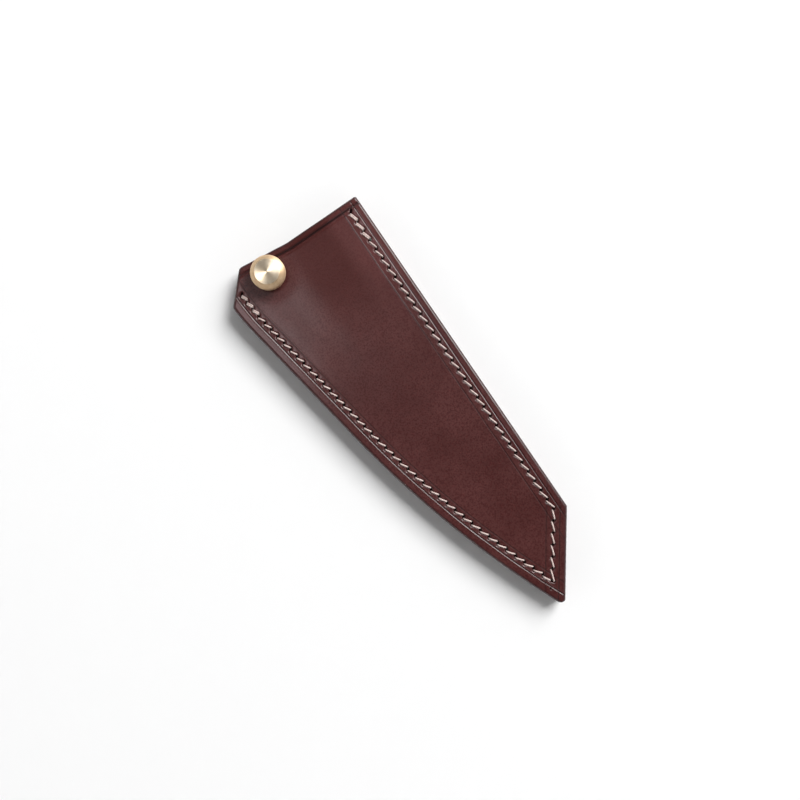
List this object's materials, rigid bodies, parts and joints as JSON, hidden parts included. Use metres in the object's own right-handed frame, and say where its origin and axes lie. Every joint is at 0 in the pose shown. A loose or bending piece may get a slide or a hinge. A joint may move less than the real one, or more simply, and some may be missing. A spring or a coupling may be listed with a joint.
{
  "type": "leather blade sheath",
  "caption": "Stitched leather sheath for an angled-tip kitchen knife blade, open at the mouth and locked by a turned brass thumb screw at the heel corner.",
  "frame": {"origin": "centre of the sheath's back, on the surface it lies on", "axes": "+X from the mouth to the tip, +Y from the edge side to the spine, +Z out of the front panel, towards the knob"},
  "size_m": [0.1997, 0.0716, 0.0182],
  "materials": {
    "leather": "satin waxed",
    "thread": "waxed linen",
    "brass": "turned, bright",
    "washer_leather": "matte"
  },
  "bodies": {
    "sheath": {"front_panel": "leather", "back_panel": "leather", "spine_welt": "leather", "tip_welt": "leather", "edge_welt": "leather", "saddle_thread_a": "thread", "saddle_thread_b": "thread", "front_bush": "brass", "bush_ring_nut": "brass", "back_post": "brass"},
    "washer": {"knob_washer": "washer_leather"},
    "thumb_screw": {"threaded_stud": "brass", "thumb_knob": "brass"}
  },
  "joints": [
    {"name": "screw_lift", "type": "slide", "parent": "sheath", "child": "washer", "axis": [0, 0, 1], "range_m": [0, 0.0089]},
    {"name": "screw_turn", "type": "hinge", "parent": "washer", "child": "thumb_screw", "pos_m": [-0.09026, -0.01422, 0], "axis": [0, 0, 1], "range_deg": [0, 3960]}
  ],
  "couplings": [
    {"joint": "screw_lift", "follows": "screw_turn", "m_per_rad": 0.00012732}
  ]
}
